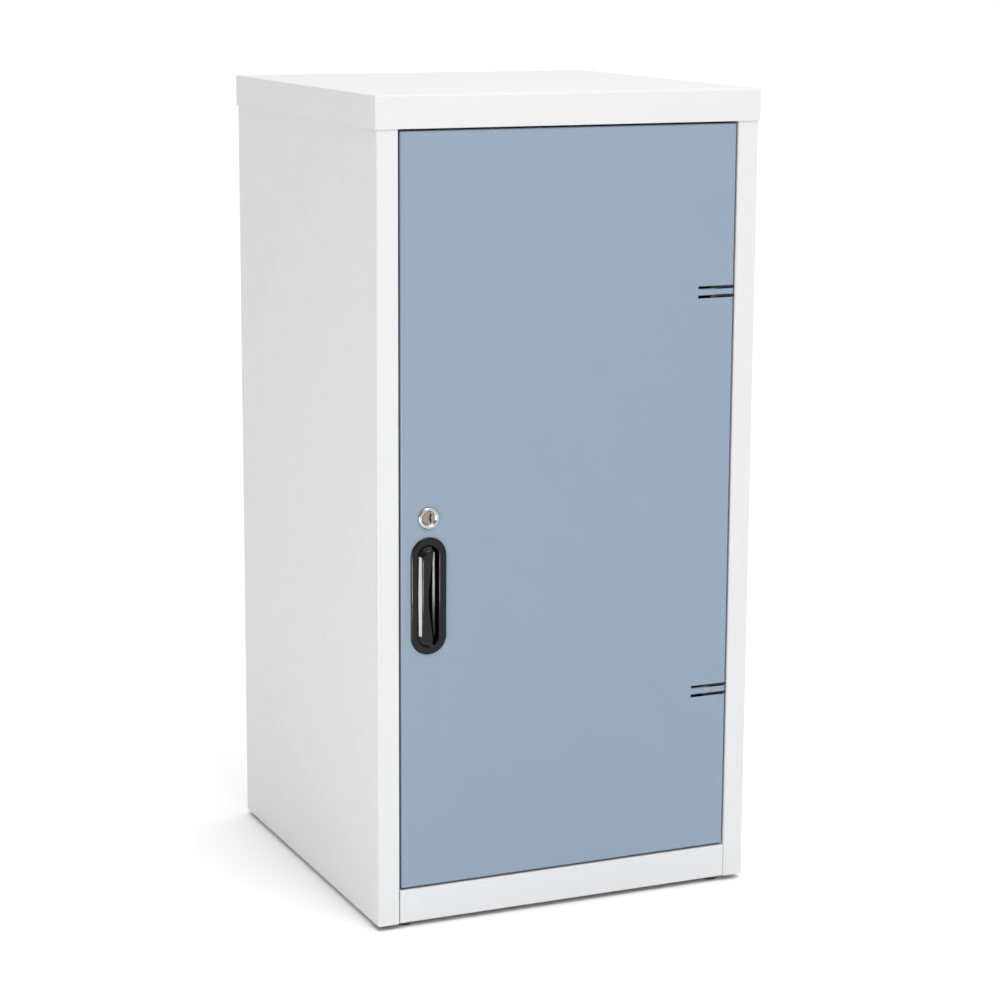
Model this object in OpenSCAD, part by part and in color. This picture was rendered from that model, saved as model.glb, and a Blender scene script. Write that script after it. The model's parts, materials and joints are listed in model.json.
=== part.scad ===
// Ward bedside cabinet: a folded sheet-steel body with an inset lockable door on two-plate pivot
// hinges, one adjustable shelf and four levelling glides.
// Millimetres, +Z up, the door faces -Y. The origin is on the floor, under the middle of the body.

/* [Overall size] */
// Overall width, measured over the top cap
cabinet_w = 400; // [360:5:460]
// Overall depth without the handle, measured over the top cap
cabinet_d = 400; // [360:5:480]
// Overall height, from the floor to the top face
cabinet_h = 800; // [720:10:900]
// Height of the body's bottom edge above the floor
floor_gap = 5; // [4:0.5:8]

/* [Sheet metal] */
// Thickness of the folded sheet
sheet = 1; // [0.8:0.1:1.2]
// Outside radius of a fold
fold_r = 2; // [1.6:0.2:2.4]
// How far the top cap stands out past the body on each side
cap_overhang = 1.5; // [1.3:0.1:2]
// Height of the top cap's aprons
apron_h = 31; // [26:1:36]
// Width of the white frame beside the door
stile_w = 22; // [20:1:26]
// Depth of the frame's inward return behind the front
return_d = 22; // [21:0.5:26]
// Width of the lip that stops the door at the lock side
lip_w = 10; // [8:1:12]
// Height of the bottom rail in front of the floor
rail_h = 33.5; // [30:0.5:40]
// Width of the flanges at the back, top and bottom edges
flange_w = 15; // [12:1:18]

/* [Door] */
// Gap between the door and the frame at the two sides
door_side_gap = 1.8; // [1.6:0.1:2.4]
// Gap above and below the door
door_end_gap = 2; // [1.5:0.1:3]
// Depth of the door pan
door_t = 18; // [17:0.5:19]
// Width of the door pan's inner lips
door_lip_w = 12; // [8:1:12]

/* [Hinges] */
// Height of each hinge above or below the middle of the door
hinge_offset = 200.5; // [150:0.5:240]
// Distance from the door's hinge edge to the pivot
pivot_inset = 19.4; // [19:0.1:20]
// Distance from the door's face back to the pivot
pivot_depth = 7.5; // [7:0.1:8]
// Distance between the middles of a hinge's two plates
plate_pitch = 8.6; // [8.4:0.1:10]
// Thickness of a hinge plate
plate_t = 2; // [1.5:0.1:2.2]
// Width of a hinge plate
plate_w = 10.8; // [9:0.2:10.8]
// Height of a clearance slit in the door
slit_h = 3.3; // [2.8:0.1:3.4]
// Length of a clearance slit, from the door's edge
slit_l = 38.7; // [37:0.1:42]
// Diameter of the hinge pin
pin_d = 5; // [4:0.5:5]

/* [Lock and handle] */
// Distance from the door's lock edge to the line of the lock and the handle
pull_inset = 27.8; // [27:0.1:32]
// Height of the lock above the middle of the door
lock_rise = -0.2; // [-20:0.1:40]
// Drop from the lock to the middle of the handle
handle_drop = 75.5; // [74:0.5:90]
// Width of the handle's oval flange
handle_w = 36.2; // [34:0.2:38]
// Height of the handle's oval flange
handle_h = 114; // [108:1:120]
// How far the handle's hood stands out from the door
hood_rise = 8.5; // [6:0.5:10]
// Diameter of the lock's domed ring
lock_ring_d = 21.4; // [20:0.2:22]
// Diameter of the lock's turning plug
plug_d = 12; // [11:0.5:12]
// Reach of the lock's cam from its axis
cam_reach = 36; // [34:1:40]

/* [Inside and feet] */
// Height of the shelf's top face above the floor
shelf_z = 430; // [280:25:580]
// Diameter of a glide's pad
glide_d = 15; // [13:1:20]
// Diameter of a glide's threaded stud
stud_d = 8; // [6:1:8]
// Distance from the cabinet's side to a glide's middle
glide_side = 32; // [32:0.5:36]
// Distance from the cabinet's front or back to a glide's middle
glide_end = 15.5; // [15:0.5:18]

/* [Hidden] */
$fn = 48;
// Overlap that joins two solids of one part
eps = 0.01;

white = [0.93, 0.93, 0.94];
door_blue = [0.58, 0.66, 0.74];
zinc = [0.72, 0.73, 0.74];
chrome = [0.83, 0.83, 0.84];
nickel = [0.72, 0.7, 0.67];
hinge_black = [0.12, 0.12, 0.13];
black = [0.05, 0.05, 0.055];
rubber = [0.1, 0.1, 0.1];

// Straight pieces in a quarter turn of a fold, and the radius of the sheet's middle line there
fold_steps = 6;
mid_r = fold_r - sheet / 2;
// Clearances: between sheets that slide together, between parts that stand close, round a turning
// part, and round a part that is pressed or screwed in
fit = 0.3;
touch = 0.1;
run_fit = 0.05;
press_fit = 0.02;

// Body faces
side_x = cabinet_w / 2 - cap_overhang;
front_y = cap_overhang - cabinet_d / 2;
back_y = cabinet_d / 2 - cap_overhang;
base_z = floor_gap;
roof_z = cabinet_h - sheet;
wall_top_z = roof_z - fit;

// Door opening
open_x = side_x - stile_w;
return_y = front_y + return_d;
floor_z = base_z + rail_h;
lintel_z = cabinet_h - apron_h;
header_z = lintel_z + 1;

// Door
door_x = open_x - door_side_gap;
door_z0 = floor_z + door_end_gap;
door_z1 = lintel_z - door_end_gap;
door_mid_z = (door_z0 + door_z1) / 2;
door_back_y = front_y + door_t;

// Hinges
pivot_x = door_x - pivot_inset;
pivot_y = front_y + pivot_depth;
pin_r = pin_d / 2;
hinge_web_t = 2;
hinge_web_h = 40;
barrel_r = 5;
barrel_h = plate_pitch - plate_t - 2 * touch;
hinge_levels = [door_mid_z + hinge_offset, door_mid_z - hinge_offset];

// Rivets of the back panel
rivet_rows = 5;
rivet_r = 1.6;
rivet_hole_d = 3.3;

// Lock and handle
pull_x = pull_inset - door_x;
lock_z = door_mid_z + lock_rise;
handle_z = lock_z - handle_drop;
lock_barrel_r = 9.3;
lock_flats = 16;
lock_l = 20;
plug_r = plug_d / 2;
tail_w = 7;
screw_r = 2;
cam_t = 2;
cam_y = return_y + 0.7;

// Shelf supports
upright_w = 16;
upright_d = 6;
upright_x = side_x - sheet - upright_d;
upright_ys = [-125, 155];
upright_z0 = 80;
upright_z1 = 755;
slot_pitch = 25;
slot_h = 4;
slot_w = 12;
clip_t = 2;
shelf_under_z = shelf_z - sheet;

// Glides
bracket_z = base_z + 3;
bracket_t = 2;
bracket_d = 32;
bracket_h = 22;
nut_h = 6.5;
glide_x = cabinet_w / 2 - glide_side;
glide_y = cabinet_d / 2 - glide_end;

// Unit vector from a to b
function unit(a, b) = (b - a) / norm(b - a);

// Left-hand normal of a plane vector
function left(d) = [-d.y, d.x];

// Signed angle from direction a to direction b
function turn(a, b) = atan2(a.x * b.y - a.y * b.x, a.x * b.x + a.y * b.y);

// Points of an arc
function arc(c, r, from, sweep, steps) =
    [for (i = [0:steps]) c + r * [cos(from + sweep * i / steps), sin(from + sweep * i / steps)]];

// Points of one edge of a fold at p, at the distance off to the left of the sheet's middle line
function fold(p, a, b, off, r) =
    let (
        angle = turn(a, b),
        side = sign(angle),
        start = p - a * r * tan(abs(angle) / 2),
        out = -side * left(a)
    )
    arc(start - r * out, r - side * off, atan2(out.y, out.x), angle, fold_steps);

// One edge of a folded strip whose middle line is path
function strip_edge(path, off, r) =
    let (last = len(path) - 1)
    [for (i = [0:last])
        let (a = unit(path[max(i, 1) - 1], path[max(i, 1)]))
        each i == 0 || i == last
            ? [path[i] + off * left(a)]
            : fold(path[i], a, unit(path[i], path[i + 1]), off, r)];

// Points in the opposite order
function reversed(list) = [for (i = [len(list) - 1:-1:0]) list[i]];

// Cross-section of a folded sheet
module folded(path, t = sheet, r = mid_r) {
    polygon(concat(strip_edge(path, t / 2, r), reversed(strip_edge(path, -t / 2, r))));
}

// Box between two corners
module block(low, high) {
    translate(low) cube(high - low);
}

// Extrusion along X of a profile drawn as [y, z]
module along_x(x0, x1) {
    translate([x0, 0, 0]) rotate([90, 0, 90]) linear_extrude(x1 - x0) children();
}

// Extrusion towards +Y of a profile drawn as [x, z]
module along_y(y0, y1) {
    translate([0, y1, 0]) rotate([90, 0, 0]) linear_extrude(y1 - y0) children();
}

// Extrusion upwards of a profile drawn as [x, y]
module along_z(z0, z1) {
    translate([0, 0, z0]) linear_extrude(z1 - z0) children();
}

// Left and right copies
module both_sides() {
    children();
    mirror([1, 0, 0]) children();
}

// Block centred on Z with its top edges rounded by r
module rounded_block(w, l, h, r) {
    module crown(span) {
        polygon(concat(
            [[-span / 2, 0], [span / 2, 0]],
            arc([span / 2 - r, h - r], r, 0, 90, fold_steps),
            arc([r - span / 2, h - r], r, 90, 90, fold_steps)
        ));
    }
    intersection() {
        along_y(-l / 2, l / 2) crown(w);
        along_x(-w / 2, w / 2) crown(l);
    }
}

// Upright outline with its four corners rounded by r
module rounded_outline(w, l, r) {
    polygon(concat(
        arc([w / 2 - r, r - l / 2], r, -90, 90, fold_steps),
        arc([w / 2 - r, l / 2 - r], r, 0, 90, fold_steps),
        arc([r - w / 2, l / 2 - r], r, 90, 90, fold_steps),
        arc([r - w / 2, r - l / 2], r, 180, 90, fold_steps)
    ));
}

// Folded tray, open downwards, its top at h
module tray(w, l, h) {
    intersection() {
        difference() {
            rounded_block(w, l, h, fold_r);
            translate([0, 0, -1])
                rounded_block(w - 2 * sheet, l - 2 * sheet, h - sheet + 1, fold_r - sheet);
        }
        along_z(-1, h + 1) rounded_outline(w, l, 1.5);
    }
}

// Oval outline, straight at the sides and round at the ends
module oval(w, h) {
    square([w, h - w], center = true);
    for (end = [-1, 1]) translate([0, end * (h - w) / 2]) circle(d = w);
}

// ---- Body ----

// Side sheet, front stile, return and stop lip in one folding; lip_dir 1 turns the lip outwards
module side_sheet(lip_dir) {
    half = sheet / 2;
    inner_x = open_x + half;
    outer_x = side_x - half;
    difference() {
        along_z(base_z, wall_top_z) folded([
            [inner_x + lip_dir * lip_w, return_y - half],
            [inner_x, return_y - half],
            [inner_x, front_y + half],
            [outer_x, front_y + half],
            [outer_x, back_y - half],
            [outer_x - flange_w, back_y - half]
        ]);
        // The inward lip stops short of the floor and of the header
        if (lip_dir < 0) {
            block([open_x - lip_w - 1, return_y - 1.5 * sheet, base_z - 1],
                [open_x, return_y + 1, floor_z + touch]);
            block([open_x - lip_w - 1, return_y - 1.5 * sheet, header_z - 2 * touch],
                [open_x, return_y + 1, roof_z + 1]);
        }
        rivet_places() cylinder(d = rivet_hole_d, h = 4 * sheet, center = true);
    }
    // Inward flanges along the bottom and under the cap
    for (z = [base_z, roof_z - sheet])
        block([side_x - flange_w, return_y + 1, z],
            [side_x - sheet, back_y - flange_w - 4, z + sheet]);
}

module left_side_panel() {
    color(white) mirror([1, 0, 0]) side_sheet(-1);
}

module right_side_panel() {
    color(white) difference() {
        side_sheet(1);
        // Slots that the hinge plates pass through
        half_w = plate_w / 2 + touch;
        half_h = plate_t / 2 + touch;
        for (z = hinge_levels, level = [-1, 1])
            translate([0, pivot_y, z + level * plate_pitch / 2])
                block([open_x - 1, -half_w, -half_h], [open_x + sheet + 0.5, half_w, half_h]);
    }
}

// Places of the rivets along the right-hand back flange, axis along Y
module rivet_places() {
    margin = 12;
    z0 = floor_z + margin;
    step = (lintel_z - margin - z0) / (rivet_rows - 1);
    for (i = [0:rivet_rows - 1])
        translate([side_x - 9, back_y, z0 + i * step]) rotate([90, 0, 0]) children();
}

module back_panel() {
    y = back_y - 1.5 * sheet;
    half_w = side_x - 2.2 * sheet;
    color(white) difference() {
        along_x(-half_w, half_w) folded([
            [y - flange_w + 2, roof_z - sheet / 2],
            [y, roof_z - sheet / 2],
            [y, base_z + 1.5 * sheet],
            [y - flange_w / 3, base_z + 1.5 * sheet]
        ]);
        both_sides() rivet_places() cylinder(d = rivet_hole_d, h = 8 * sheet, center = true);
    }
}

// Blind rivets: domed head outside, shank through both sheets, bulb inside
module back_rivets() {
    grip = 2 * sheet;
    color(zinc) both_sides() rivet_places() {
        rotate([180, 0, 0]) rotate_extrude()
            polygon([[0, 0], [3.2, 0], [3.2, 0.35], [2.6, 0.9], [1.5, 1.2], [0, 1.2]]);
        cylinder(r = rivet_r, h = grip + 2 * touch);
        translate([0, 0, grip]) cylinder(r = rivet_r + 0.9, h = 1.4);
    }
}

module top_cap() {
    color(white) translate([0, 0, lintel_z]) tray(cabinet_w, cabinet_d, apron_h);
}

module front_header() {
    half = sheet / 2;
    color(white) along_x(fit - open_x, open_x - fit) folded([
        [front_y + half, wall_top_z],
        [front_y + half, header_z + half],
        [return_y - half, header_z + half],
        [return_y - half, header_z + flange_w]
    ]);
}

module floor_pan() {
    half = sheet / 2;
    rear_y = back_y - 2.5 * sheet;
    wing_x = side_x - sheet - touch;
    color(white) {
        // Floor, front rail with its hem, and rear flange
        along_x(fit - open_x, open_x - fit) folded([
            [rear_y, floor_z - flange_w - 3],
            [rear_y, floor_z - half],
            [front_y + half, floor_z - half],
            [front_y + half, base_z + half],
            [front_y + 8, base_z + half]
        ]);
        // Wings of the floor behind the stiles, turned down against the side sheets
        both_sides() {
            block([open_x - 2, return_y + fit, floor_z - sheet], [wing_x, rear_y - fold_r, floor_z]);
            block([wing_x - sheet, return_y + fit, floor_z - flange_w - 3],
                [wing_x, rear_y - fold_r, floor_z - half]);
        }
    }
}

// ---- Shelf ----

// Channel with a ladder of slots, against the right-hand side sheet
module upright() {
    wall_x = side_x - sheet;
    half = sheet / 2;
    rows = floor((upright_z1 - upright_z0 - 30) / slot_pitch);
    difference() {
        along_z(upright_z0, upright_z1) folded([
            [wall_x, -upright_w / 2 + half],
            [upright_x + half, -upright_w / 2 + half],
            [upright_x + half, upright_w / 2 - half],
            [wall_x, upright_w / 2 - half]
        ]);
        for (i = [0:rows])
            translate([upright_x + half, 0, slot_base_z() + i * slot_pitch])
                cube([3 * sheet, slot_w, slot_h], center = true);
    }
}

// Height of the lowest slot, on the same ladder as the clips
function slot_base_z() =
    let (clip_z = shelf_under_z - clip_t / 2)
    clip_z - slot_pitch * floor((clip_z - upright_z0 - 15) / slot_pitch);

module shelf_uprights() {
    color(white) both_sides() for (y = upright_ys) translate([0, y, 0]) upright();
}

// Bent clip: a ledge through the slot, a leg down the front and a hook up behind it
module clip() {
    z1 = shelf_under_z;
    z0 = z1 - clip_t;
    half_w = slot_w / 2 - 1;
    block([upright_x - 14, -half_w, z0], [upright_x + sheet + 2.3, half_w, z1]);
    block([upright_x - touch - 1.6, -half_w, z0 - 10], [upright_x - touch, half_w, z0 + eps]);
    block([upright_x + sheet + touch + 0.6, -half_w, z0],
        [upright_x + sheet + 2.3, half_w, z1 + 6]);
}

module shelf_clips() {
    color(zinc) both_sides() for (y = upright_ys) translate([0, y, 0]) clip();
}

module shelf() {
    half = sheet / 2;
    y0 = return_y + 17;
    y1 = back_y - 10;
    edge_h = 20;
    hem_w = 8;
    color(white) along_x(1 - upright_x, upright_x - 1) folded([
        [y0 + hem_w, shelf_z - edge_h + half],
        [y0 + half, shelf_z - edge_h + half],
        [y0 + half, shelf_z - half],
        [y1 - half, shelf_z - half],
        [y1 - half, shelf_z - edge_h + half],
        [y1 - hem_w, shelf_z - edge_h + half]
    ]);
}

// ---- Hinges ----

// Frame side: a web behind the stile's return and two plates that reach round the door's edge
module hinge_bracket(z) {
    web_x = open_x + sheet;
    color(hinge_black) translate([0, pivot_y, z]) difference() {
        union() {
            block([web_x, -plate_w / 2, -hinge_web_h / 2],
                [web_x + hinge_web_t, plate_w / 2, hinge_web_h / 2]);
            for (level = [-1, 1]) translate([0, 0, level * plate_pitch / 2 - plate_t / 2]) {
                block([pivot_x, -plate_w / 2, 0], [web_x + 1, plate_w / 2, plate_t]);
                translate([pivot_x, 0, 0]) cylinder(d = plate_w, h = plate_t);
            }
        }
        translate([pivot_x, 0, 0]) cylinder(r = pin_r + press_fit, h = 2 * plate_pitch, center = true);
    }
}

// Pin riveted over at both ends
module hinge_pin(z) {
    reach = plate_pitch / 2 + plate_t / 2;
    head_r = 3.6;
    head_h = 1.2;
    color(zinc) translate([pivot_x, pivot_y, z]) {
        cylinder(r = pin_r, h = 2 * (reach + head_h), center = true);
        for (end = [0, 1]) mirror([0, 0, end]) translate([0, 0, reach]) cylinder(r = head_r, h = head_h);
    }
}

// Door side: a pad on the inside of the door, an arm between the plates and the barrel
module hinge_leaf(z) {
    pad_w = 30;
    pad_h = 44;
    pad_t = 2;
    arm_t = 3.5;
    pad_x1 = door_x - slit_l - 2;
    face_y = front_y + sheet;
    color(door_blue) translate([0, 0, z]) difference() {
        union() {
            block([pad_x1 - pad_w, face_y, -pad_h / 2], [pad_x1, face_y + pad_t, pad_h / 2]);
            block([pad_x1 - 4, face_y, -barrel_h / 2], [pivot_x, face_y + arm_t, barrel_h / 2]);
            translate([pivot_x, pivot_y, 0]) cylinder(r = barrel_r, h = barrel_h, center = true);
        }
        translate([pivot_x, pivot_y, 0]) cylinder(r = pin_r + run_fit, h = 3 * barrel_h, center = true);
    }
}

module upper_hinge_bracket() {
    hinge_bracket(hinge_levels[0]);
}

module lower_hinge_bracket() {
    hinge_bracket(hinge_levels[1]);
}

module upper_hinge_pin() {
    hinge_pin(hinge_levels[0]);
}

module lower_hinge_pin() {
    hinge_pin(hinge_levels[1]);
}

module upper_hinge_leaf() {
    hinge_leaf(hinge_levels[0]);
}

module lower_hinge_leaf() {
    hinge_leaf(hinge_levels[1]);
}

// ---- Door ----

module door_skin() {
    door_w = 2 * door_x;
    door_h = door_z1 - door_z0;
    color(door_blue) difference() {
        union() {
            translate([0, door_back_y, door_mid_z]) rotate([90, 0, 0]) tray(door_w, door_h, door_t);
            // Lips turned inwards along the two upright edges
            both_sides() block([door_x - door_lip_w, door_back_y - sheet, door_z0 + 3],
                [door_x - sheet / 2, door_back_y, door_z1 - 3]);
        }
        hinge_slits();
        translate([pull_x, 0, lock_z]) along_y(front_y - 1, front_y + 2 * sheet) intersection() {
            circle(r = lock_barrel_r + 0.2);
            square([lock_flats + 0.4, 3 * lock_barrel_r], center = true);
        }
        translate([pull_x, 0, handle_z]) along_y(front_y - 1, front_y + 2 * sheet)
            oval(handle_w - 5.2, handle_h - 5);
    }
}

// Pairs of slits that let the hinge plates through the door's face and edge as it opens
module hinge_slits() {
    for (z = hinge_levels, level = [-1, 1])
        translate([0, 0, z + level * plate_pitch / 2]) {
            block([door_x - slit_l, front_y - 1, -slit_h / 2],
                [door_x + 1, front_y + sheet + 0.6, slit_h / 2]);
            block([door_x - fold_r, front_y - 1, -slit_h / 2],
                [door_x + 1, pivot_y + plate_w / 2 + 1, slit_h / 2]);
        }
}

// Upright hat section welded inside the door's face
module door_stiffener() {
    y0 = front_y + 1.5 * sheet;
    y1 = door_back_y - 3;
    half_crown = 18;
    half_w = 32;
    end_gap = 15;
    color(door_blue) along_z(door_z0 + end_gap, door_z1 - end_gap) folded([
        [-half_w, y0], [-half_crown, y0], [-half_crown, y1],
        [half_crown, y1], [half_crown, y0], [half_w, y0]
    ]);
}

// Rubber discs on the stop lip, as high as the space that the closed door leaves
module door_buffers() {
    space = return_d - door_t - sheet;
    inset = 70;
    color(rubber) for (z = [door_z0 + inset, door_z1 - inset])
        translate([lip_w / 2 - open_x, return_y - sheet, z]) rotate([90, 0, 0])
            cylinder(r = 4, h = space - 2 * touch);
}

// ---- Handle ----

// Capsule on Z with round ends
module capsule(r, h) {
    cylinder(r = r, h = h - 2 * r, center = true);
    for (end = [-1, 1]) translate([0, 0, end * (h / 2 - r)]) sphere(r = r);
}

// Oval flange with a softened front edge, drawn from the door's face outwards
module handle_flange() {
    rise = 2;
    soft = 0.7;
    along_y(-rise + soft, 0) oval(handle_w, handle_h);
    along_y(-rise, eps - rise + soft) oval(handle_w - 2 * soft, handle_h - 2 * soft);
}

// Recessed pull: flange, cup behind the door, and a hood over the left half of the cup
module handle_shell() {
    wall = 2;
    cup_w = handle_w - 5.6;
    cup_h = handle_h - 5.4;
    cup_d = 15;
    mouth_w = 20.5;
    mouth_h = handle_h - 16.5;
    hood_r = 11;
    hood_x = -3.1;
    hood_y = hood_r - hood_rise;
    hood_edge = -2;
    color(black) translate([pull_x, front_y, handle_z]) {
        difference() {
            union() {
                handle_flange();
                along_y(-eps, cup_d) oval(cup_w, cup_h);
            }
            along_y(wall / 2, cup_d - wall) oval(cup_w - 2 * wall, cup_h - 2 * wall);
            along_y(-3, wall) oval(mouth_w, mouth_h);
        }
        // Hood, a shell that opens towards the middle of the door
        difference() {
            translate([hood_x, hood_y, 0]) capsule(hood_r, mouth_h - 1);
            translate([hood_x, hood_y, 0]) capsule(hood_r - wall, mouth_h - 1 - 2 * wall);
            block([hood_edge, -20, -handle_h], [20, 20, handle_h]);
            block([-20, hood_y, -handle_h], [20, 20, handle_h]);
        }
        // Snap ribs that hold the cup in the door's cut-out
        for (side = [-1, 1], z = [-30, 30])
            block([side < 0 ? -cup_w / 2 - 1 : cup_w / 2 - eps, sheet + 0.05, z - 6],
                [side < 0 ? eps - cup_w / 2 : cup_w / 2 + 1, sheet + 2.5, z + 6]);
    }
}

// ---- Lock ----

// Domed ring in front, and a barrel with two flats through the door
module lock_housing() {
    ring_r = lock_ring_d / 2;
    rise = 2.8;
    dome_r = 2.2;
    rim_h = 0.6;
    sink = 1.8;
    color(chrome) translate([pull_x, front_y, lock_z]) difference() {
        union() {
            rotate([90, 0, 0]) rotate_extrude() polygon(concat(
                [[0, 0], [ring_r, 0]],
                arc([ring_r - dome_r, rim_h], dome_r, 0, 90, fold_steps),
                [[0, rise]]
            ));
            intersection() {
                rotate([-90, 0, 0]) cylinder(r = lock_barrel_r, h = lock_l);
                block([-lock_flats / 2, -1, -lock_barrel_r], [lock_flats / 2, lock_l + 1, lock_barrel_r]);
            }
        }
        rotate([90, 0, 0]) cylinder(r = plug_r + run_fit, h = 3 * lock_l, center = true);
        // Cone that leads down to the plug's face
        rotate([90, 0, 0]) translate([0, 0, rise - sink])
            cylinder(r1 = plug_r, r2 = plug_r + sink + eps, h = sink + eps);
    }
}

module lock_nut() {
    nut_w = 27.7;
    h = 4;
    color(zinc) translate([pull_x, front_y + sheet, lock_z]) rotate([-90, 0, 0]) difference() {
        cylinder(d = nut_w, h = h, $fn = 6);
        translate([0, 0, -1]) cylinder(r = lock_barrel_r + press_fit, h = h + 2);
    }
}

// Turning plug with its keyway in front and a square tail for the cam
module lock_plug() {
    face = -0.9;
    key_h = 8.4;
    key_w = 1.4;
    key_x = 0.3;
    key_step = 0.9;
    color(nickel) translate([pull_x, front_y, lock_z]) difference() {
        union() {
            translate([0, face, 0]) rotate([-90, 0, 0]) cylinder(r = plug_r, h = lock_l - face + 0.4);
            block([-tail_w / 2, lock_l, -tail_w / 2], [tail_w / 2, cam_y - front_y + cam_t, tail_w / 2]);
        }
        // Keyway: a tall slot whose middle steps sideways
        block([key_x, face - 1, -key_h / 5], [key_x + key_w, lock_l - 6, key_h / 5]);
        for (end = [-1, 1]) translate([key_x + key_step, 0, end * key_h * 0.3])
            block([0, face - 1, -key_h / 5], [key_w, lock_l - 6, key_h / 5]);
        // Bore for the cam's screw
        translate([0, lock_l + 10, 0]) rotate([90, 0, 0]) cylinder(r = screw_r + press_fit, h = 14);
    }
}

// Flat cam that hangs down when the lock is open
module lock_cam() {
    boss_r = 9;
    tip_r = 7;
    color(zinc) translate([pull_x, 0, lock_z]) along_y(cam_y, cam_y + cam_t) difference() {
        union() {
            circle(r = boss_r);
            translate([-tip_r, tip_r - cam_reach]) square([2 * tip_r, cam_reach - tip_r]);
            translate([0, tip_r - cam_reach]) circle(r = tip_r);
        }
        square(tail_w + 2 * touch, center = true);
    }
}

// Washer, head with a cross slot, and shank
module cam_screw() {
    head_h = 3.2;
    slot_l = 6;
    slot_t = 1;
    color(zinc) translate([pull_x, cam_y + cam_t, lock_z]) rotate([-90, 0, 0]) difference() {
        union() {
            cylinder(r = 5.5, h = 0.8);
            cylinder(r = 4.3, h = head_h);
            translate([0, 0, -4]) cylinder(r = screw_r, h = 5);
        }
        for (angle = [0, 90]) rotate([0, 0, angle])
            block([-slot_l / 2, -slot_t / 2, head_h - 1.2], [slot_l / 2, slot_t / 2, head_h + 1]);
    }
}

// ---- Feet ----

// Angle bracket at the right for the glide at y: a shelf from y0 back, and a wall on it at wall_y
module foot_bracket(y, y0, wall_y) {
    x0 = glide_x - 18;
    x1 = open_x - fit;
    difference() {
        union() {
            block([x0, y0, bracket_z], [x1, y0 + bracket_d, bracket_z + bracket_t]);
            block([x0, wall_y, bracket_z + eps], [x1, wall_y + bracket_t, bracket_z + bracket_h]);
        }
        translate([glide_x, y, bracket_z - 1]) cylinder(r = stud_d / 2 + 0.4, h = 2 * bracket_t);
    }
}

// The front walls stand behind the rail, and the rear ones in front of the floor's rear flange
module foot_brackets() {
    front = front_y + sheet;
    rear = back_y - 3 * sheet;
    color(zinc) both_sides() {
        foot_bracket(-glide_y, front, front);
        foot_bracket(glide_y, rear - bracket_d, rear - bracket_t);
    }
}

module foot_nuts() {
    color(zinc) both_sides() for (y = [-glide_y, glide_y])
        translate([glide_x, y, bracket_z + bracket_t]) difference() {
            cylinder(d = stud_d + 7, h = nut_h, $fn = 6);
            translate([0, 0, -1]) cylinder(r = stud_d / 2 + run_fit, h = nut_h + 2);
        }
}

// Low pad with a softened rim
module glide_pad(x, y) {
    r = glide_d / 2;
    pad_h = floor_gap - 2 * touch;
    color(black) translate([x, y, 0]) rotate_extrude() polygon([
        [0, 0], [r - 0.8, 0], [r, 0.8], [r, pad_h - 1.6], [r - 1.2, pad_h - 0.4], [r - 3, pad_h], [0, pad_h]
    ]);
}

module glide_stud(x, y) {
    foot_z = floor_gap - 2 * touch;
    stud_top = floor_z - 4;
    color(zinc) translate([x, y, 0]) {
        translate([0, 0, foot_z]) cylinder(d = stud_d, h = stud_top - foot_z - 1);
        translate([0, 0, stud_top - 1]) cylinder(d1 = stud_d, d2 = stud_d - 2, h = 1);
    }
}

module front_left_glide_pad() {
    glide_pad(-glide_x, -glide_y);
}

module front_left_glide_stud() {
    glide_stud(-glide_x, -glide_y);
}

module front_right_glide_pad() {
    glide_pad(glide_x, -glide_y);
}

module front_right_glide_stud() {
    glide_stud(glide_x, -glide_y);
}

module rear_left_glide_pad() {
    glide_pad(-glide_x, glide_y);
}

module rear_left_glide_stud() {
    glide_stud(-glide_x, glide_y);
}

module rear_right_glide_pad() {
    glide_pad(glide_x, glide_y);
}

module rear_right_glide_stud() {
    glide_stud(glide_x, glide_y);
}

left_side_panel();
right_side_panel();
back_panel();
back_rivets();
top_cap();
front_header();
floor_pan();
foot_brackets();
foot_nuts();
shelf_uprights();
shelf_clips();
shelf();
upper_hinge_bracket();
lower_hinge_bracket();
upper_hinge_pin();
lower_hinge_pin();
door_buffers();
door_skin();
door_stiffener();
upper_hinge_leaf();
lower_hinge_leaf();
handle_shell();
lock_housing();
lock_nut();
lock_plug();
lock_cam();
cam_screw();
front_left_glide_pad();
front_left_glide_stud();
front_right_glide_pad();
front_right_glide_stud();
rear_left_glide_pad();
rear_left_glide_stud();
rear_right_glide_pad();
rear_right_glide_stud();
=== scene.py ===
import json
import math

import bmesh
import bpy
from mathutils import Matrix, Vector

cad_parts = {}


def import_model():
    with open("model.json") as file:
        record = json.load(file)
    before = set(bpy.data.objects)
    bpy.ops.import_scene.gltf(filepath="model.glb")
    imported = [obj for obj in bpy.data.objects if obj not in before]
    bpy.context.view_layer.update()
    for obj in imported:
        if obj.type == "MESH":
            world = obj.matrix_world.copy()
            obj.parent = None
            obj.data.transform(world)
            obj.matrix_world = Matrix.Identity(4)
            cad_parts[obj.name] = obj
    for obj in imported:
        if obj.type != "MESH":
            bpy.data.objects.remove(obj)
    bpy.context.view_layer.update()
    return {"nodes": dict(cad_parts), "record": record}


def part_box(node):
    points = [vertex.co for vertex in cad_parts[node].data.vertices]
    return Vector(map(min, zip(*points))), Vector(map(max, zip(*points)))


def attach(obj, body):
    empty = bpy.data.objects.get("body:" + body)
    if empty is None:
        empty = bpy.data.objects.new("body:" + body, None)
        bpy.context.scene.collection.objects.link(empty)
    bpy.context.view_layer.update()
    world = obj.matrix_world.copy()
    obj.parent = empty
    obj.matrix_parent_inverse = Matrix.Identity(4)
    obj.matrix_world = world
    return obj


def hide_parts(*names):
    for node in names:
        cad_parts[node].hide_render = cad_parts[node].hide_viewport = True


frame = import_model()
scene = bpy.context.scene
MM = 0.001


# ---- Materials ----

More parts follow.
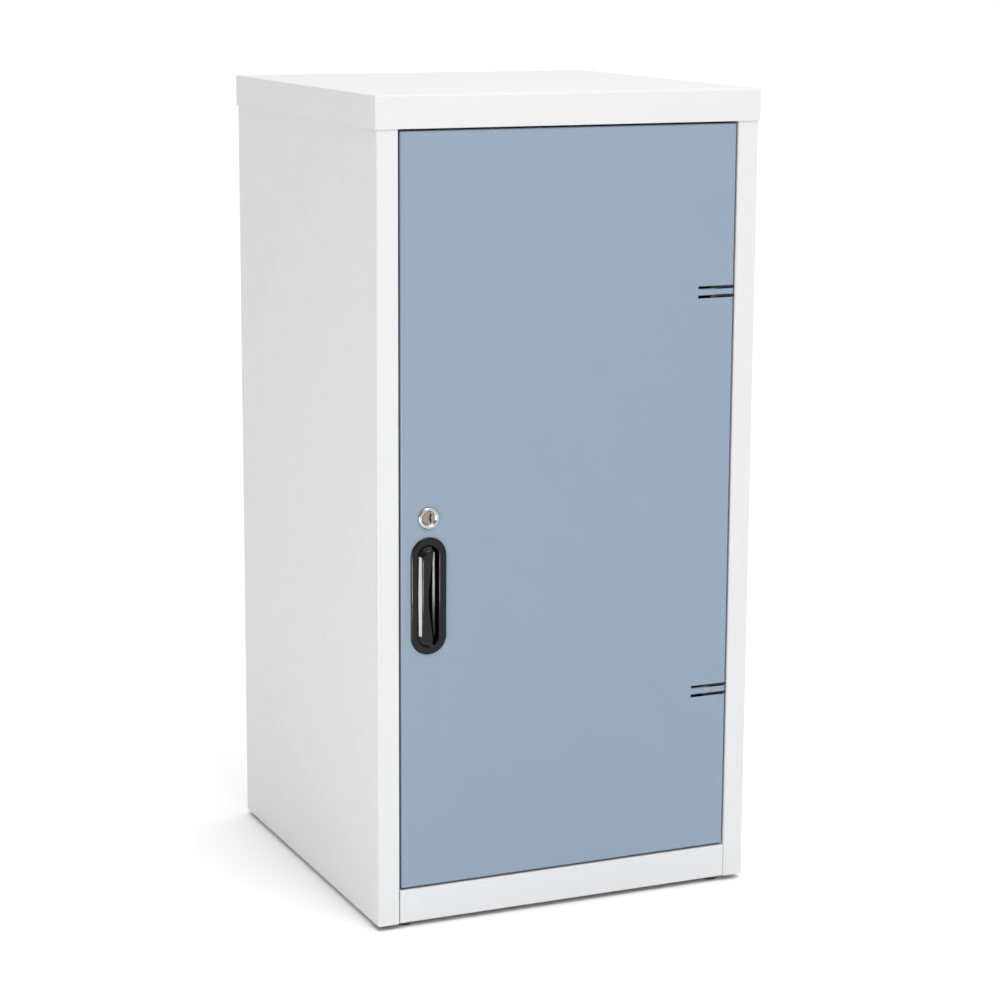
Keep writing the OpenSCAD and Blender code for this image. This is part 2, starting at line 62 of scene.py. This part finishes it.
def material(name, base, roughness, metallic=0.0, ior=1.5):
    """New node material; returns it with its shader, its tree and object coordinates in metres."""
    mat = bpy.data.materials.new(name)
    mat.use_nodes = True
    tree = mat.node_tree
    shader = tree.nodes["Principled BSDF"]
    shader.inputs["Base Color"].default_value = (*base, 1.0)
    shader.inputs["Roughness"].default_value = roughness
    shader.inputs["Metallic"].default_value = metallic
    shader.inputs["IOR"].default_value = ior
    coords = tree.nodes.new("ShaderNodeTexCoord")
    return mat, shader, tree, coords.outputs["Object"]


def noise(tree, coords, size, detail, stretch=(1, 1, 1)):
    """Noise whose blobs are about size metres across."""
    mapping = tree.nodes.new("ShaderNodeMapping")
    mapping.inputs["Scale"].default_value = [s / size for s in stretch]
    tree.links.new(coords, mapping.inputs["Vector"])
    node = tree.nodes.new("ShaderNodeTexNoise")
    node.inputs["Scale"].default_value = 1.0
    node.inputs["Detail"].default_value = detail
    tree.links.new(mapping.outputs["Vector"], node.inputs["Vector"])
    return node.outputs["Fac"]


def remap(tree, value, low, high, to_low, to_high):
    """Value from low..high brought to to_low..to_high, which are numbers or sockets."""
    node = tree.nodes.new("ShaderNodeMapRange")
    node.inputs["From Min"].default_value = low
    node.inputs["From Max"].default_value = high
    for socket, limit in (("To Min", to_low), ("To Max", to_high)):
        if isinstance(limit, (int, float)):
            node.inputs[socket].default_value = limit
        else:
            tree.links.new(limit, node.inputs[socket])
    tree.links.new(value, node.inputs["Value"])
    return node.outputs["Result"]


def spread_noise(tree, value, to_low, to_high):
    """The middle of a noise's range brought to to_low..to_high."""
    return remap(tree, value, 0.3, 0.7, to_low, to_high)


def blend_colors(tree, factor, first, second):
    node = tree.nodes.new("ShaderNodeMix")
    node.data_type = "RGBA"
    tree.links.new(factor, node.inputs["Factor"])
    sockets = {socket.identifier: socket for socket in node.inputs}
    sockets["A_Color"].default_value = (*first, 1.0)
    sockets["B_Color"].default_value = (*second, 1.0)
    return next(socket for socket in node.outputs if socket.identifier == "Result_Color")


def bump(tree, height, distance, strength, normal=None):
    node = tree.nodes.new("ShaderNodeBump")
    node.inputs["Strength"].default_value = strength
    node.inputs["Distance"].default_value = distance
    tree.links.new(height, node.inputs["Height"])
    if normal is not None:
        tree.links.new(normal, node.inputs["Normal"])
    return node.outputs["Normal"]


def tint(tree, shader, factor, color, darkest, lightest):
    """Gives the shader a colour that varies between two shades of itself."""
    dark, light = (tuple(c * share for c in color) for share in (darkest, lightest))
    tree.links.new(blend_colors(tree, factor, dark, light), shader.inputs["Base Color"])


def powder_coat(name, color, roughness):
    """Satin powder coat: fine orange peel, a slow wave of the sheet under it, faint uneven gloss."""
    peel_size, gloss_size, tone_size, wave_size = 1.6 * MM, 12 * MM, 45 * MM, 140 * MM
    peel_height, wave_height = 0.03 * MM, 1.2 * MM
    gloss_spread = 0.03
    mat, shader, tree, coords = material(name, color, roughness)
    peel = noise(tree, coords, peel_size, 3.0)
    wave = noise(tree, coords, wave_size, 1.0)
    tint(tree, shader, noise(tree, coords, tone_size, 4.0), color, 0.985, 1.015)
    gloss = noise(tree, coords, gloss_size, 3.0)
    gloss = spread_noise(tree, gloss, roughness - gloss_spread, roughness + gloss_spread)
    tree.links.new(gloss, shader.inputs["Roughness"])
    normal = bump(tree, wave, wave_height, 0.35)
    normal = bump(tree, peel, peel_height, 0.5, normal)
    tree.links.new(normal, shader.inputs["Normal"])
    return mat


def plated_steel(name, color, roughness):
    """Plated metal with a faint mottled haze and fine drawn lines."""
    haze_size, line_size, line_height = 5 * MM, 2 * MM, 0.02 * MM
    smoothest, roughest = roughness - 0.08, roughness + 0.1
    mat, shader, tree, coords = material(name, color, roughness, metallic=1.0)
    tint(tree, shader, noise(tree, coords, haze_size, 4.0), color, 0.88, 1.06)
    lines = noise(tree, coords, line_size, 2.0, stretch=(1, 1, 12))
    gloss = spread_noise(tree, lines, smoothest, roughest)
    tree.links.new(gloss, shader.inputs["Roughness"])
    tree.links.new(bump(tree, lines, line_height, 0.4), shader.inputs["Normal"])
    return mat


def fine_grained(name, color, roughness, grain, grain_depth, ior=1.5):
    """Moulded plastic, rubber or black paint with a fine surface grain."""
    gloss_size = 8 * MM
    mat, shader, tree, coords = material(name, color, roughness, ior=ior)
    speck = noise(tree, coords, grain, 3.0)
    tint(tree, shader, speck, color, 0.8, 1.25)
    gloss = noise(tree, coords, gloss_size, 3.0)
    gloss = spread_noise(tree, gloss, roughness * 0.8, roughness * 1.25)
    tree.links.new(gloss, shader.inputs["Roughness"])
    tree.links.new(bump(tree, speck, grain_depth, 0.5), shader.inputs["Normal"])
    return mat


SLOT_MATERIALS = {
    "white_powder_coat": powder_coat("white_powder_coat", (0.66, 0.66, 0.664), 0.42),
    "blue_powder_coat": powder_coat("blue_powder_coat", (0.23, 0.298, 0.38), 0.4),
    "zinc_plate": plated_steel("zinc_plate", (0.62, 0.63, 0.65), 0.34),
    "lock_chrome": plated_steel("lock_chrome", (0.5, 0.5, 0.505), 0.12),
    "plug_nickel": plated_steel("plug_nickel", (0.28, 0.258, 0.235), 0.22),
    "handle_plastic": fine_grained(
        "handle_plastic", (0.0045, 0.0042, 0.0042), 0.07, 1.5 * MM, 0.004 * MM, ior=1.33),
    "glide_plastic": fine_grained(
        "glide_plastic", (0.03, 0.03, 0.032), 0.5, 0.6 * MM, 0.04 * MM),
    "buffer_rubber": fine_grained(
        "buffer_rubber", (0.04, 0.04, 0.042), 0.75, 0.5 * MM, 0.05 * MM),
    "black_steel": fine_grained(
        "black_steel", (0.008, 0.008, 0.009), 0.5, 1.2 * MM, 0.02 * MM),
}


# ---- CAD nodes: materials and softened edges ----

# Widths of the softened edges in mm
SHEET_EDGE = 0.3
FINE_EDGES = {
    "lock_housing": 0.15,
    "lock_plug": 0.12,
    "lock_cam": 0.2,
    "cam_screw": 0.15,
    "back_rivets": 0.1,
}


def soften(obj, width):
    """Rounds the cut edges of a CAD solid without touching its mesh."""
    weld = obj.modifiers.new("weld", "WELD")
    weld.merge_threshold = 1e-6
    edge = obj.modifiers.new("edge", "BEVEL")
    edge.width = width
    edge.segments = 2
    edge.limit_method = "ANGLE"
    edge.angle_limit = math.radians(35)
    edge.use_clamp_overlap = True
    normals = obj.modifiers.new("normals", "WEIGHTED_NORMAL")
    normals.keep_sharp = False
    normals.weight = 100


for part in frame["record"]["subparts"]:
    node = frame["nodes"][part["node"]]
    node.data.materials.clear()
    node.data.materials.append(SLOT_MATERIALS[part["material_slot"]])
    soften(node, FINE_EDGES.get(part["node"], SHEET_EDGE) * MM)


# ---- Recessed pull: a flanged cup, and a hood over its left half ----
# Lengths in this section are in mm: u to the right and v up from the pull's middle, and rise
# outwards from the door's face

HANDLE_LOW, HANDLE_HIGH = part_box("handle_shell")
PULL_X = (HANDLE_LOW.x + HANDLE_HIGH.x) / 2
PULL_Z = (HANDLE_LOW.z + HANDLE_HIGH.z) / 2
FACE_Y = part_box("door_skin")[0].y

FLANGE_HALF_W = 18.1
FLANGE_HALF_H = 57.0
FLANGE_RISE = 2.0
MOUTH_HALF_W = 10.0
# The cup inside: its wall, its depth and the height where its rounded bottom starts
CUP_WALL = 9.8
CUP_DEPTH = 13.0
CUP_BEND = 10.0
# The cup's floor rises from RISE_U on; from FACET_U on it is a plane with slope FACET_SLOPE
RISE_U = -1.0
FACET_U = 6.2
FACET_SHARE = 0.47
FACET_SLOPE = 0.47
# The cup's back, inside the door
BACK_HALF_W = 15.3
BACK_DEPTH = 15.0
BACK_BEND = 3.5

HOOD_HALF_W = 12.6
HOOD_HALF_H = 49.2
HOOD_BASE = 1.0
HOOD_FOOT = 0.6
HOOD_FOOT_SLOPE = 3.5
HOOD_FACET = 3.1
HOOD_CROWN_R = 2.5
HOOD_WALL = 1.6
# The hood's free edge at its two ends, and how far it is hollowed to the left between them
HOOD_EDGE_END = 1.7
HOOD_EDGE_HOLLOW = 4.3

END_STEPS = 32
SIDE_STEPS = 20
HOOD_STEPS = 28


def on_door(u, v, rise):
    return (PULL_X + u * MM, FACE_Y - rise * MM, PULL_Z + v * MM)


def stadium(half_w, half_h):
    """Points round an upright oval with straight sides."""
    straight = half_h - half_w
    points = []
    for end in (1, -1):
        for i in range(END_STEPS + 1):
            angle = math.pi * i / END_STEPS
            v = straight + half_w * math.sin(angle)
            points.append((end * half_w * math.cos(angle), end * v))
        for i in range(1, SIDE_STEPS):
            points.append((-end * half_w, end * straight * (1 - 2 * i / SIDE_STEPS)))
    return points


def quarter(start, corner, end, steps):
    """Points of an elliptic quarter turn from start to end, bulging towards corner."""
    points = []
    for i in range(steps + 1):
        t = math.pi / 2 * i / steps
        points.append(tuple(
            c + (s - c) * (1 - math.sin(t)) + (e - c) * (1 - math.cos(t))
            for s, c, e in zip(start, corner, end)
        ))
    return points


def add_piece(name, verts, faces):
    """Part of the pull with its verts in metres, riding on the door in place of the CAD shell."""
    mesh = bpy.data.meshes.new(name)
    mesh.from_pydata(verts, [], faces)
    mesh.validate()
    work = bmesh.new()
    work.from_mesh(mesh)
    bmesh.ops.recalc_face_normals(work, faces=work.faces)
    work.to_mesh(mesh)
    work.free()
    mesh.shade_smooth()
    mesh.materials.append(SLOT_MATERIALS["handle_plastic"])
    obj = bpy.data.objects.new(name, mesh)
    scene.collection.objects.link(obj)
    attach(obj, "door")
    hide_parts("handle_shell")
    return obj


def cup_depth(u):
    """How deep the cup's floor is at u, as a share of its full depth."""
    slope = FACET_SLOPE / CUP_DEPTH
    if u >= FACET_U:
        return FACET_SHARE - slope * (u - FACET_U)
    t = max(0.0, (u - RISE_U) / (FACET_U - RISE_U))
    ease = t * t * (3 - 2 * t)
    return 1 - (1 - FACET_SHARE) * ease + slope * (FACET_U - RISE_U) * t * t * (1 - t)


def cup_profile():
    """Half widths and rises of the cup's ovals, from its floor over the flange to its back.

    Also returns how many of them belong to the floor.
    """
    floor_rings = (0.2, 1.2, 2.2, 3.2, 4.1, 4.9, 5.6, 6.2, 6.7, 7.2, 7.7, 8.2)
    bottom = -CUP_DEPTH
    profile = [(half_w, bottom) for half_w in floor_rings]
    profile += quarter((8.5, bottom), (CUP_WALL, bottom), (CUP_WALL, -CUP_BEND), 6)
    floor_count = len(profile)
    lip = FLANGE_RISE - 0.1
    profile += quarter((MOUTH_HALF_W, 0.4), (MOUTH_HALF_W, lip), (11.6, lip), 6)
    rim = (FLANGE_HALF_W, FLANGE_RISE)
    profile += quarter((16.2, FLANGE_RISE), rim, (FLANGE_HALF_W, 0.5), 8)
    profile += [(FLANGE_HALF_W, 0.0), (BACK_HALF_W, 0.0), (BACK_HALF_W, -1.0)]
    back = -BACK_DEPTH
    start = (BACK_HALF_W, back + BACK_BEND)
    profile += quarter(start, (BACK_HALF_W, back), (BACK_HALF_W - BACK_BEND, back), 6)
    profile += [(0.2, back)]
    return profile, floor_count


def add_snap_ribs(verts, faces):
    """Wedges behind the flange that hold the cup in the door."""
    rib_v, rib_half = 30, 6
    section = ((15, -1.05), (16.3, -1.05), (15, -3.5))
    for side in (-1, 1):
        for middle in (-rib_v, rib_v):
            base = len(verts)
            for v in (middle - rib_half, middle + rib_half):
                verts += [on_door(side * u, v, rise) for u, rise in section]
            faces += [(base, base + 1, base + 2), (base + 3, base + 5, base + 4)]
            for i in range(3):
                j = (i + 1) % 3
                faces.append((base + i, base + 3 + i, base + 3 + j, base + j))


def handle_cup():
    """Flange and cup in one closed shell, swept as ovals from the cup's floor round to its back."""
    straight = FLANGE_HALF_H - FLANGE_HALF_W
    profile, floor_count = cup_profile()
    verts = []
    for ring, (half_w, rise) in enumerate(profile):
        for u, v in stadium(half_w, half_w + straight):
            verts.append(on_door(u, v, rise * (cup_depth(u) if ring < floor_count else 1.0)))
    count = len(verts) // len(profile)
    faces = []
    for ring in range(len(profile) - 1):
        a = ring * count
        for i in range(count):
            j = (i + 1) % count
            faces.append((a + i, a + j, a + count + j, a + count + i))
    faces.append(tuple(range(count)))
    faces.append(tuple(range(len(verts) - count, len(verts))))
    add_snap_ribs(verts, faces)
    add_piece("handle_cup", verts, faces)


def hood_rise(inset):
    """Rise of the hood at a distance inside its outline: steep foot, 45 degree facet, crown."""
    if inset < HOOD_FOOT:
        return HOOD_BASE + HOOD_FOOT_SLOPE * inset
    facet_rise = HOOD_BASE + HOOD_FOOT_SLOPE * HOOD_FOOT
    inset -= HOOD_FOOT
    if inset < HOOD_FACET:
        return facet_rise + inset
    reach = HOOD_CROWN_R * math.sin(math.pi / 4)
    along = min(inset - HOOD_FACET, reach)
    crown = math.sqrt(HOOD_CROWN_R ** 2 - (reach - along) ** 2) - reach
    return facet_rise + HOOD_FACET + crown


def hood_edge(v):
    """Place of the hood's free edge at v."""
    along = min(1.0, abs(v) / HOOD_HALF_H)
    return HOOD_EDGE_END - HOOD_EDGE_HOLLOW * math.cos(math.pi / 2 * along) ** 2


def hood_rows():
    """Pairs of points from top to bottom: one on the hood's outline, one on its free edge."""
    straight = HOOD_HALF_H - HOOD_HALF_W
    tip = straight + math.sqrt(HOOD_HALF_W ** 2 - hood_edge(HOOD_HALF_H) ** 2)
    first = math.asin(-hood_edge(tip) / HOOD_HALF_W)
    rows = []
    for i in range(END_STEPS + 1):
        t = i / END_STEPS
        angle = first + (math.pi / 2 - first) * t
        outline = (-HOOD_HALF_W * math.sin(angle), straight + HOOD_HALF_W * math.cos(angle))
        v = tip + (straight - tip) * t
        rows.append((outline, (hood_edge(v), v)))
    for i in range(1, SIDE_STEPS + 1):
        v = straight * (1 - i / SIDE_STEPS)
        rows.append(((-HOOD_HALF_W, v), (hood_edge(v), v)))
    return rows + [((a[0], -a[1]), (b[0], -b[1])) for a, b in reversed(rows[:-1])]


def handle_hood():
    """Hood over the left half of the cup: a sheet of even thickness that follows the oval."""
    straight = HOOD_HALF_H - HOOD_HALF_W
    rows = hood_rows()
    verts = []
    for outline, edge in rows:
        for j in range(HOOD_STEPS + 1):
            t = j / HOOD_STEPS
            u = outline[0] + (edge[0] - outline[0]) * t
            v = outline[1] + (edge[1] - outline[1]) * t
            off_axis = math.hypot(u, max(0.0, abs(v) - straight))
            verts.append(on_door(u, v, hood_rise(max(0.0, HOOD_HALF_W - off_axis))))
    width = HOOD_STEPS + 1
    faces = []
    for row in range(len(rows) - 1):
        for a in range(row * width, row * width + HOOD_STEPS):
            faces.append((a, a + 1, a + width + 1, a + width))
    hood = add_piece("handle_hood", verts, faces)
    weld = hood.modifiers.new("weld", "WELD")
    weld.merge_threshold = 0.02 * MM
    shell = hood.modifiers.new("shell", "SOLIDIFY")
    shell.thickness = HOOD_WALL * MM
    faces_out = hood.data.polygons[len(faces) // 2].normal.y < 0
    shell.offset = -1 if faces_out else 1
    edge = hood.modifiers.new("edge", "BEVEL")
    edge.width = 0.35 * MM
    edge.segments = 3
    edge.limit_method = "ANGLE"
    edge.angle_limit = math.radians(50)


handle_cup()
handle_hood()


# ---- Floor, light and camera ----

def floor():
    half = 30.0
    mesh = bpy.data.meshes.new("floor")
    corners = [(-half, -half, 0), (half, -half, 0), (half, half, 0), (-half, half, 0)]
    mesh.from_pydata(corners, [], [(0, 1, 2, 3)])
    obj = bpy.data.objects.new("floor", mesh)
    scene.collection.objects.link(obj)
    white = (0.98, 0.98, 0.98)
    mat, shader, tree, coords = material("floor_white", white, 0.6)
    tint(tree, shader, noise(tree, coords, 0.8, 2.0), white, 0.995, 1.005)
    mesh.materials.append(mat)


def softbox(name, place, target, size, power, diffuse=True, glossy=True):
    """Rectangular light; without diffuse it only shows as a reflection, without glossy never."""
    light = bpy.data.lights.new(name, "AREA")
    light.shape = "RECTANGLE"
    light.size, light.size_y = size
    light.energy = power
    obj = bpy.data.objects.new(name, light)
    scene.collection.objects.link(obj)
    obj.location = place
    direction = Vector(target) - Vector(place)
    obj.rotation_euler = direction.to_track_quat("-Z", "Y").to_euler()
    obj.visible_camera = False
    obj.visible_diffuse = diffuse
    obj.visible_glossy = glossy


def world(horizon, left, right, zenith):
    """White surroundings, even at the horizon and bright overhead, with dimmer ones to the left."""
    env = bpy.data.worlds.new("studio")
    env.use_nodes = True
    tree = env.node_tree
    background = tree.nodes["Background"]
    background.inputs["Color"].default_value = (1, 1, 1, 1)
    direction = tree.nodes.new("ShaderNodeTexCoord").outputs["Generated"]
    split = tree.nodes.new("ShaderNodeSeparateXYZ")
    tree.links.new(direction, split.inputs["Vector"])
    side = remap(tree, split.outputs["X"], -0.7, 0.7, left, right)
    walls = remap(tree, split.outputs["Z"], 0.04, 0.3, horizon, side)
    strength = remap(tree, split.outputs["Z"], 0.7, 0.95, walls, zenith)
    tree.links.new(strength, background.inputs["Strength"])
    scene.world = env


def camera(place, azimuth, pitch, roll, lens, shift_y):
    """Camera that looks along +Y at azimuth 0, and stands to the left for a negative one."""
    azimuth, pitch, roll = (math.radians(angle) for angle in (azimuth, pitch, roll))
    level = math.cos(pitch)
    back = Vector((math.sin(azimuth) * level, -math.cos(azimuth) * level, math.sin(pitch)))
    right = Vector((math.cos(azimuth), math.sin(azimuth), 0))
    up = back.cross(right)
    right, up = (
        right * math.cos(roll) + up * math.sin(roll),
        up * math.cos(roll) - right * math.sin(roll),
    )
    data = bpy.data.cameras.new("camera")
    data.lens = lens
    data.sensor_width = 36.0
    data.shift_y = shift_y
    obj = bpy.data.objects.new("camera", data)
    scene.collection.objects.link(obj)
    obj.matrix_world = Matrix((
        (right.x, up.x, back.x, place[0]),
        (right.y, up.y, back.y, place[1]),
        (right.z, up.z, back.z, place[2]),
        (0, 0, 0, 1),
    ))
    scene.camera = obj


floor()
world(horizon=1.0, left=0.35, right=1.1, zenith=1.9)
softbox("key", (0.1, -1.9, 2.7), (0, 0, 0.6), (1.2, 0.8), 24.5)
softbox("left_fill", (-1.3, -0.9, 0.15), (-0.2, -0.15, 0.15), (0.6, 0.28), 2.6, glossy=False)
# The two narrow lights that the hood and the cup's floor mirror towards the camera
softbox(
    "left_strip", (-0.876, -0.497, 0.25), (-0.156, -0.204, 0.25), (0.065, 0.46), 2.9,
    diffuse=False)
softbox(
    "low_front", (-0.575, -1.105, 0.111), (-0.149, -0.2, PULL_Z), (0.07, 0.08), 2.0,
    diffuse=False)
camera((-1.0942, -2.5077, 0.9359), -23.847, 10.911, 0.294, lens=97.4, shift_y=-0.035)
scene.view_settings.view_transform = "Standard"
